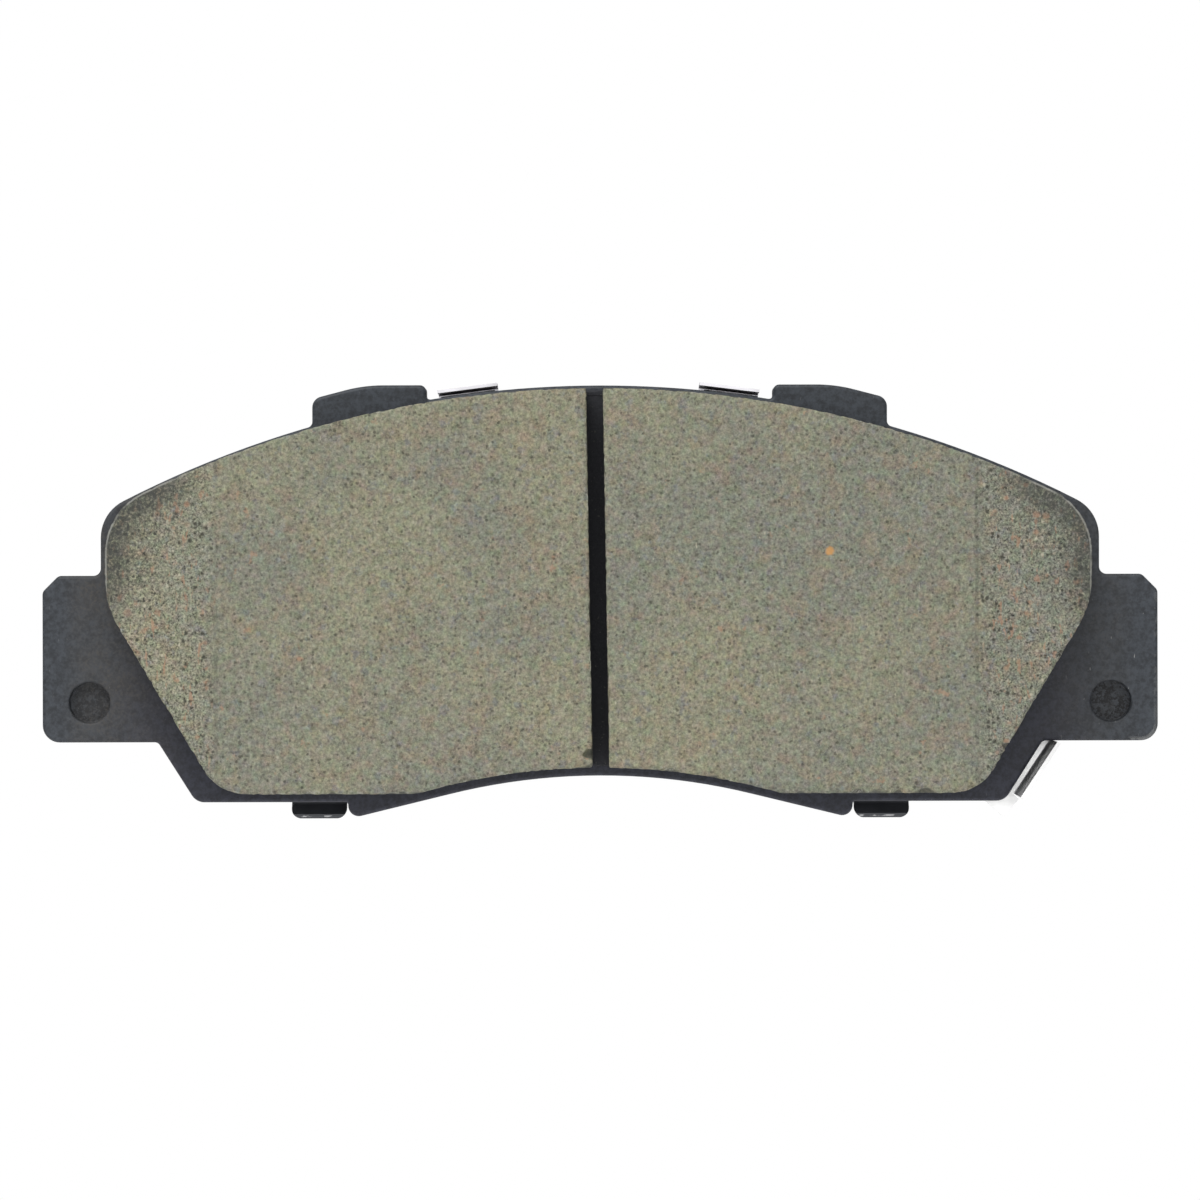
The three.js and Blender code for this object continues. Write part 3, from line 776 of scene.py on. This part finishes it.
def powder_coat(colours):
    """Satin blue-black coating: orange peel, dust in the ears' roots, worn edges, painted shade
    low in the middle and in the pips.
    """
    material, tree, surface = new_material("powder_coat")
    specks = shared("Specks", build_specks)
    grain = shared("Grain", build_grain)
    wear = shared("Edge wear and glint", build_wear_and_glint)
    here = tree.place()
    axis = tree.add("ShaderNodeSeparateXYZ", {0: here}).outputs
    away = tree.math("ABSOLUTE", axis["X"])

    mottle = tree.noise(here, 1.3, detail=5.0, rough=0.7)
    # Painted shade: the coating turns darker and bluer low in the middle, below the lining.
    low = tree.math("MULTIPLY", tree.ramp(axis["Z"], 5.0, -14.0), tree.ramp(away, 68.0, 58.0))
    colour = tree.mix(low, colours.coat, colours.coat_painted_shade)
    shade = tree.ramp(mottle, 0.32, 0.68, 0.62, 1.42)
    grey = tree.add("ShaderNodeCombineColor", {0: shade, 1: shade, 2: shade}).outputs[0]
    colour = tree.mix(1.0, colour, grey, blend="MULTIPLY")
    cloud = tree.noise(tree.place(move=(8, 0, 2)), 0.16, detail=4.0, rough=0.6)
    on_ears = tree.ramp(away, 54.0, 64.0)
    root = tree.math("MULTIPLY", on_ears, tree.ramp(away, 72.5, 68.0, 0.1, 1.0))
    dusty = tree.math("MULTIPLY", root, tree.ramp(cloud, 0.3, 0.6, 0.35, 1.0))
    dusty = tree.math("MULTIPLY", dusty, tree.ramp(axis["X"], -40.0, 40.0, 1.0, 0.45))
    grit = tree.group(specks, vector=here, scale=2.6, level=0.46, softness=0.22)["Mask"]
    dusty = tree.math("MULTIPLY", dusty, tree.math("ADD", 0.45, tree.math("MULTIPLY", grit, 0.55)))
    colour = tree.mix(tree.math("MULTIPLY", dusty, 0.8, clamp=True), colour, colours.dust)

    # Painted shade in the pushed-in pips' recesses, deeper in the right one, broken up by speckle.
    across = tree.math("SUBTRACT", away, PIP_REACH)
    rise = tree.math("SUBTRACT", axis["Z"], PIP_Z)
    from_pip = tree.distance(across, rise)
    pip = tree.ramp(from_pip, 2.9, 2.5)
    dark = tree.math("MULTIPLY", pip, tree.ramp(axis["X"], -40.0, 40.0, 0.3, 0.55))
    speckle = tree.noise(tree.place(move=(1, 0, 6)), 2.2, detail=3.0, rough=0.7)
    dark = tree.math("MULTIPLY", dark, tree.ramp(speckle, 0.6, 0.42, -0.6, 2.0), clamp=True)
    colour = tree.mix(dark, colour, colours.painted_pip_shade)

    right_end = tree.ramp(axis["X"], 66.0, 75.0, 0.0, 0.2)
    low_corner = tree.math("MULTIPLY", right_end, tree.ramp(axis["Z"], -6.0, -18.0, 1.0, 1.6))
    amount = tree.math("ADD", 0.3, low_corner)
    edge_mask = tree.group(wear, vector=here, reach=0.5 * MM, amount=amount)["Mask"]
    edge_mask = tree.math("MULTIPLY", edge_mask, tree.ramp(axis["X"], 40.0, 72.0, 0.25, 1.0))
    colour = tree.mix(edge_mask, colour, colours.worn)
    scuffs = tree.group(
        specks,
        vector=tree.place(scale=(1.4, 1.0, 0.5), move=(9, 0, 5), turn=(0.0, 0.5, 0.0)),
        scale=1.5,
        level=0.70,
        softness=0.04,
    )["Mask"]
    scuffs = tree.math("MULTIPLY", scuffs, tree.ramp(axis["X"], 60.0, 72.0, 0.1, 0.7))
    colour = tree.mix(scuffs, colour, colours.worn)

    peel = tree.group(grain, vector=here, scale=1.5, fine=0.25)["Height"]
    peel = tree.math("ADD", peel, tree.math("MULTIPLY", tree.math("MULTIPLY", pip, mottle), 5.0))
    rough = tree.ramp(mottle, 0.3, 0.7, 0.42, 0.56)
    flecks = tree.spots((0, 0, 0), 1.5, 0.06, 0.2)
    colour = tree.mix(tree.math("MULTIPLY", flecks, on_ears), colour, colours.dust)
    tree.feed(surface["Base Color"], colour)
    tree.feed(surface["Roughness"], tree.math("ADD", rough, tree.math("MULTIPLY", dusty, 0.2)))
    tree.feed(surface["Normal"], bump(tree, peel, 0.35, 0.08))
    surface["Specular IOR Level"].default_value = 0.3
    return material


def rubber_coat(colours):
    material, tree, surface = new_material("shim_rubber")
    grain = shared("Grain", build_grain)
    wear = shared("Edge wear and glint", build_wear_and_glint)
    here = tree.place()
    cloud = tree.noise(here, 0.25, detail=4.0, rough=0.6)
    lighter = [c * 1.5 for c in colours.rubber]
    colour = tree.mix(tree.ramp(cloud, 0.35, 0.7, 0.0, 0.6), colours.rubber, lighter)
    edge_mask = tree.group(wear, vector=here, reach=0.15 * MM, amount=0.3)["Mask"]
    colour = tree.mix(tree.math("MULTIPLY", edge_mask, 0.2), colour, colours.dust)
    height = tree.group(grain, vector=here, scale=3.0, fine=0.5)["Height"]
    tree.feed(surface["Base Color"], colour)
    tree.feed(surface["Roughness"], tree.ramp(cloud, 0.3, 0.7, 0.5, 0.68))
    tree.feed(surface["Normal"], bump(tree, height, 0.3, 0.04))
    return material


def sheet_steel(name, tint, roughness, contrast, along, metal=1.0):
    """Bright rolled steel sheet with painted highlights along its convex edges. along is the axis
    of the rolling marks: X, Y or Z.
    """
    material, tree, surface = new_material(name)
    rolled = shared("Rolled", build_rolled)
    wear = shared("Edge wear and glint", build_wear_and_glint)
    stretch = [0.04 if axis == along else 1.0 for axis in "XYZ"]
    drawn = tree.place(scale=stretch)
    streaks = tree.group(rolled, vector=drawn, contrast=contrast)["Streaks"]
    here = tree.place()
    smudge = tree.noise(here, 0.12, detail=4.0, rough=0.6)
    darker = [c * 0.72 for c in tint]
    shade = tree.math("ADD", tree.ramp(smudge, 0.4, 0.7, 0.0, 0.45), streaks, clamp=True)
    colour = tree.mix(shade, tint, darker)
    # Painted highlight: the sheet's convex edges are lightened towards white.
    bright = tree.group(wear, vector=here, reach=0.12 * MM, amount=0.55)["Mask"]
    colour = tree.mix(tree.math("MULTIPLY", bright, 0.6), colour, (0.9, 0.9, 0.9))
    rough = tree.math("ADD", roughness, streaks)
    rough = tree.math("ADD", rough, tree.ramp(smudge, 0.4, 0.7, 0.0, 0.08), clamp=True)
    tree.feed(surface["Base Color"], colour)
    tree.feed(surface["Roughness"], rough)
    tree.feed(surface["Normal"], bump(tree, streaks, 0.1, 0.02))
    surface["Metallic"].default_value = metal
    return material


def core_steel(colours):
    """The thin steel between the rubber layers: bright where cut, mostly smeared with rubber."""
    material, tree, surface = new_material("shim_core")
    rolled = shared("Rolled", build_rolled)
    specks = shared("Specks", build_specks)
    drawn = tree.place(scale=(0.04, 1.0, 1.0))
    streaks = tree.group(rolled, vector=drawn, contrast=0.2)["Streaks"]
    smears = tree.place(scale=(0.55, 1.0, 1.0))
    smear = tree.group(specks, vector=smears, scale=1.1, level=0.55, softness=0.08)["Mask"]
    covered = tree.math("SUBTRACT", 1.0, smear)
    shade = tree.math("ADD", 0.3, streaks, clamp=True)
    bare = tree.mix(shade, colours.core, [c * 0.6 for c in colours.core])
    colour = tree.mix(covered, bare, [c * 1.4 for c in colours.rubber])
    tree.feed(surface["Base Color"], colour)
    tree.feed(surface["Metallic"], tree.math("SUBTRACT", 1.0, tree.math("MULTIPLY", covered, 0.9)))
    tree.feed(surface["Roughness"], tree.math("ADD", 0.3, tree.math("MULTIPLY", covered, 0.3)))
    tree.feed(surface["Normal"], bump(tree, smear, 0.3, 0.02))
    return material


def floor_material(colours):
    material, tree, surface = new_material("pale_floor")
    soft = tree.noise(tree.place(), 0.01, detail=2.0)
    low = [c * 0.985 for c in colours.floor]
    tree.feed(surface["Base Color"], tree.mix(soft, colours.floor, low))
    surface["Roughness"].default_value = 0.9
    surface["Specular IOR Level"].default_value = 0.0
    surface["Emission Color"].default_value = (1.0, 1.0, 1.0, 1.0)
    surface["Emission Strength"].default_value = 0.22
    return material


# --- Pieces -------------------------------------------------------------------------------------


class PieceOperator(bpy.types.Operator):
    """Builds one piece or a group of like pieces."""

    bl_options = {"REGISTER", "UNDO"}


class PAD_OT_backing_plate(PieceOperator):
    """Stamped steel plate: die roll on the disc side, burr side behind, two pushed-in pips"""

    bl_idname = "pad.backing_plate"
    bl_label = "Backing plate"

    def execute(self, context):
        plate, _, _, colours, _ = settings()
        holes = (-PIP_REACH, *KEY_HOLES, PIP_REACH)
        piece = copy_of("backing_plate", "plate", cuts=holes)
        rear_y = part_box("wear_indicator")[1].y - 0.5 * MM
        pip_floor_y = PLATE_FRONT_Y + PIP_DEPTH * MM

        def on_pip(point):
            near_x = abs(abs(point.x) - PIP_REACH * MM) < PIP_ZONE * MM
            return near_x and abs(point.z - PIP_Z * MM) < PIP_ZONE * MM

        def off_pip(point):
            return not on_pip(point)

        round_rim(piece, PLATE_FRONT_Y, -1, plate.die_roll, 4, off_pip)
        round_rim(piece, PLATE_FRONT_Y, -1, plate.pip_edge, 3, on_pip)
        round_rim(piece, pip_floor_y, -1, plate.pip_edge, 3, on_pip)
        round_rim(piece, rear_y, 1, plate.burr_break, 2, off_pip)
        round_rim(piece, PLATE_HIGH.y, 1, plate.head_edge, 4)
        finish_piece(
            piece, "pad", ["backing_plate"], powder_coat(colours)
        )
        return {"FINISHED"}


def crumbs(rng, places, count, largest, name):
    """Small rough lumps at places drawn from a list, joined into one mesh.

    They reach back from the face, so that each breaks the outline too. Three in four lie along
    the lower edge, which crumbles most.
    """
    low = [place for place in places if place.z < LOWER_EDGE_Z * MM]
    bpy.ops.object.select_all(action="DESELECT")
    lumps = []
    for _ in range(count):
        lower = rng.random() < 0.75
        radius = largest * (0.35 + 0.65 * rng.random() ** 2) * (1.0 if lower else 0.5)
        bpy.ops.mesh.primitive_ico_sphere_add(
            subdivisions=2,
            radius=radius,
            location=rng.choice(low if lower else places),
            scale=(rng.uniform(0.5, 1.9), rng.uniform(1.0, 2.6), rng.uniform(0.4, 1.0)),
            rotation=[rng.uniform(-0.4, 0.4) for _ in range(3)],
        )
        lumps.append(bpy.context.object)
    for lump in lumps:
        lump.select_set(True)
    bpy.ops.object.join()
    made = bpy.context.object
    made.name = name
    bpy.ops.object.transform_apply(location=True, rotation=True, scale=True)
    with editing(made, "VERT"):
        bpy.ops.mesh.select_all(action="SELECT")
        bpy.ops.transform.vertex_random(offset=largest * 0.12, seed=rng.randrange(1000))
    return made


def places_along(mesh_edges, spacing):
    """Points along the edges, evenly spaced."""
    points = []
    for edge in mesh_edges:
        a, b = (v.co.copy() for v in edge.verts)
        steps = max(1, round((b - a).length / spacing))
        points.extend(a.lerp(b, (i + 0.5) / steps) for i in range(steps))
    return points


def pit_texture(name, size, contrast, brightness):
    """A height from 0 to 1. Mostly 1, so that the displaced face keeps its level between pits."""
    texture = bpy.data.textures.new(name, "CLOUDS")
    texture.use_clamp = True
    texture.noise_scale = size
    texture.noise_depth = 2
    texture.contrast = contrast
    texture.intensity = brightness
    return texture


class PAD_OT_friction_blocks(PieceOperator):
    """The two halves of the lining: ground face, sawn slot side, crumbled rims, open pores"""

    bl_idname = "pad.friction_blocks"
    bl_label = "Friction blocks"

    def execute(self, context):
        _, lining, _, colours, _ = settings()
        material = friction_material(colours)
        for side, seed in (("left", 3), ("right", 11)):
            node = f"friction_block_{side}"
            piece = copy_of(node, f"lining_{side}")
            rng = random.Random(seed)
            with editing(piece) as mesh:
                face = [e for e in mesh.edges if max(v.co.y for v in e.verts) < FACE_Y + 2 * MM]
                face = [e for e in face if e.calc_face_angle(0.0) > math.radians(60)]
                places = places_along(face, 0.4 * MM)
            cutter = crumbs(rng, places, lining.chips, lining.chip_size, "chips")
            applied(
                piece,
                "BOOLEAN",
                object=cutter,
                operation="DIFFERENCE",
                solver="EXACT",
                use_self=True,
            )
            alone(cutter)
            bpy.ops.object.delete()
            applied(piece, "REMESH", mode="VOXEL", voxel_size=lining.grit)
            pits = pit_texture(f"pits_{side}", lining.pit_size, 4.0, 1.25)
            applied(
                piece,
                "DISPLACE",
                texture=pits,
                texture_coords="LOCAL",
                strength=lining.pit_depth,
                mid_level=1.0,
            )
            finish_piece(
                piece, "pad", [node], material, angle=60.0, sheet=False
            )
        return {"FINISHED"}


class PAD_OT_underlayer(PieceOperator):
    """Bonding layer, squeezed out unevenly between the lining and the plate"""

    bl_idname = "pad.underlayer"
    bl_label = "Bonding layer"

    def execute(self, context):
        _, lining, _, colours, _ = settings()
        piece = copy_of("underlayer", "bonding_layer", cuts=KEY_HOLES)
        front_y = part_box("underlayer")[0].y
        with editing(piece) as mesh:
            edge = [e for e in rim(mesh, front_y, -1) if e.calc_length() > 0.8 * MM]
            chosen(piece, mesh, edge)
            bpy.ops.mesh.subdivide(number_cuts=12)
        with editing(piece) as mesh:
            round_off(piece, mesh, rim(mesh, front_y, -1), 0.3 * MM, 3)
        with editing(piece, "VERT") as mesh:
            near = [v for v in mesh.verts if v.co.y < front_y + 0.4 * MM]
            chosen(piece, mesh, near)
            bpy.ops.transform.vertex_random(offset=lining.flash, seed=5)
        finish_piece(piece, "pad", ["underlayer"], bonding_material(colours))
        return {"FINISHED"}


class PAD_OT_inner_shim(PieceOperator):
    """Rubber-coated shim: two rubber layers on a steel core, hooked under the plate"""

    bl_idname = "pad.inner_shim"
    bl_label = "Inner shim"

    def execute(self, context):
        _, _, sheet, colours, _ = settings()
        rubber = rubber_coat(colours)
        core = core_steel(colours)
        layers = (
            ("inner_shim_front_rubber", "shim_front_rubber", "shim_rubber", rubber),
            ("inner_shim_steel_core", "shim_core", "shim_core_steel", core),
            ("inner_shim_rear_rubber", "shim_rear_rubber", "shim_rubber", rubber),
        )
        for node, name, slot, material in layers:
            piece = copy_of(node, name)
            width = sheet.steel_edge if material is core else sheet.rubber_edge
            round_sharp(piece, width)
            finish_piece(piece, "inner_shim", [node], material)
        return {"FINISHED"}


class PAD_OT_outer_shim(PieceOperator):
    """Stainless shim with two clips over the plate's upper edge"""

    bl_idname = "pad.outer_shim"
    bl_label = "Outer shim"

    def execute(self, context):
        _, _, sheet, colours, _ = settings()
        piece = copy_of("outer_shim", "stainless_shim", cuts=SHIM_WINDOWS)
        round_sharp(piece, sheet.steel_edge)
        material = sheet_steel("stainless_sheet", colours.stainless, 0.3, 0.5, "X")
        finish_piece(piece, "outer_shim", ["outer_shim"], material)
        return {"FINISHED"}


class PAD_OT_wear_indicator(PieceOperator):
    """Spring-steel wear indicator, staked on the right ear's pip"""

    bl_idname = "pad.wear_indicator"
    bl_label = "Wear indicator"

    def execute(self, context):
        _, _, sheet, colours, _ = settings()
        piece = copy_of("wear_indicator", "indicator", cuts=(PIP_REACH,))
        round_sharp(piece, sheet.steel_edge)
        material = sheet_steel("spring_sheet", colours.spring, 0.28, 0.2, "X", metal=0.8)
        finish_piece(piece, "pad", ["wear_indicator"], material)
        return {"FINISHED"}


# --- Stage --------------------------------------------------------------------------------------


def soft_light(name, place, aim, size, watts):
    bpy.ops.object.light_add(type="AREA", location=place)
    light = bpy.context.object
    light.name = name
    light.rotation_mode = "QUATERNION"
    light.rotation_quaternion = (Vector(aim) - Vector(place)).to_track_quat("-Z", "Y")
    light.data.shape = "RECTANGLE"
    light.data.size, light.data.size_y = size
    light.data.energy = watts


def white_surroundings(glow):
    """A world that looks white and lights the pad evenly from all round with the given glow."""
    world = bpy.data.worlds.new("studio")
    bpy.context.scene.world = world
    world.use_nodes = True
    world.node_tree.nodes.clear()
    tree = Tree(world.node_tree)
    seen = tree.add("ShaderNodeLightPath").outputs["Is Camera Ray"]
    strength = tree.add("ShaderNodeMapRange", {"Value": seen, "To Min": glow, "To Max": 1.0})
    background = tree.add("ShaderNodeBackground", {"Color": (1.0, 1.0, 1.0)})
    tree.feed(background.inputs["Strength"], strength.outputs[0])
    output = tree.add("ShaderNodeOutputWorld")
    tree.feed(output.inputs["Surface"], background.outputs[0])


class PAD_OT_stage(PieceOperator):
    """Pale floor, soft white light and the camera, square on to the friction face"""

    bl_idname = "pad.stage"
    bl_label = "Stage"

    def execute(self, context):
        colours, stage = settings()[3:]
        bpy.ops.object.select_all(action="DESELECT")
        floor_z = CAD_BOX[0].z - stage.floor_drop
        bpy.ops.mesh.primitive_plane_add(size=0.42, location=(0, 0, floor_z))
        floor = context.object
        floor.name = "floor"
        floor.data.materials.append(floor_material(colours))

        white_surroundings(stage.glow)
        soft_light("key", (-0.28, -0.55, 0.85), (0, 0, 0), (0.8, 0.5), 7.5)
        soft_light("front", (0.0, -1.05, 0.1), (0, 0, 0), (0.8, 0.8), 2.2)

        bpy.ops.object.camera_add(
            location=(0, PLATE_FRONT_Y - stage.distance, 0),
            rotation=(math.radians(90), stage.roll, 0),
        )
        camera = context.object
        camera.data.sensor_width = 36.0
        camera.data.lens = 36.0 * stage.distance / stage.width
        context.scene.camera = camera
        context.scene.view_settings.view_transform = "Standard"
        return {"FINISHED"}


PIECES = (
    PAD_OT_stage,
    PAD_OT_backing_plate,
    PAD_OT_underlayer,
    PAD_OT_friction_blocks,
    PAD_OT_inner_shim,
    PAD_OT_outer_shim,
    PAD_OT_wear_indicator,
)


class PAD_PT_sidebar(bpy.types.Panel):
    """Lists the brake pad's pieces and their sizes"""

    bl_idname = "PAD_PT_sidebar"
    bl_label = "Brake pad"
    bl_space_type = "VIEW_3D"
    bl_region_type = "UI"
    bl_category = "Brake pad"

    def draw(self, context):
        for piece in PIECES:
            self.layout.operator(piece.bl_idname)
        for group in settings():
            box = self.layout.box()
            for name in group.bl_rna.properties.keys():
                if name not in {"rna_type", "name"}:
                    box.prop(group, name)


GROUPS = {
    "pad_plate": PlateSettings,
    "pad_lining": LiningSettings,
    "pad_sheet": SheetSettings,
    "pad_finish": FinishSettings,
    "pad_stage": StageSettings,
}


def register():
    for cls in (*GROUPS.values(), *PIECES, PAD_PT_sidebar):
        bpy.utils.register_class(cls)
    for name, cls in GROUPS.items():
        setattr(bpy.types.Scene, name, PointerProperty(type=cls))


def unregister():
    for name in GROUPS:
        delattr(bpy.types.Scene, name)
    for cls in (PAD_PT_sidebar, *reversed(PIECES), *reversed(GROUPS.values())):
        bpy.utils.unregister_class(cls)


def main():
    register()
    for piece in PIECES:
        family, name = piece.bl_idname.split(".")
        getattr(getattr(bpy.ops, family), name)()


if __name__ == "__main__":
    main()
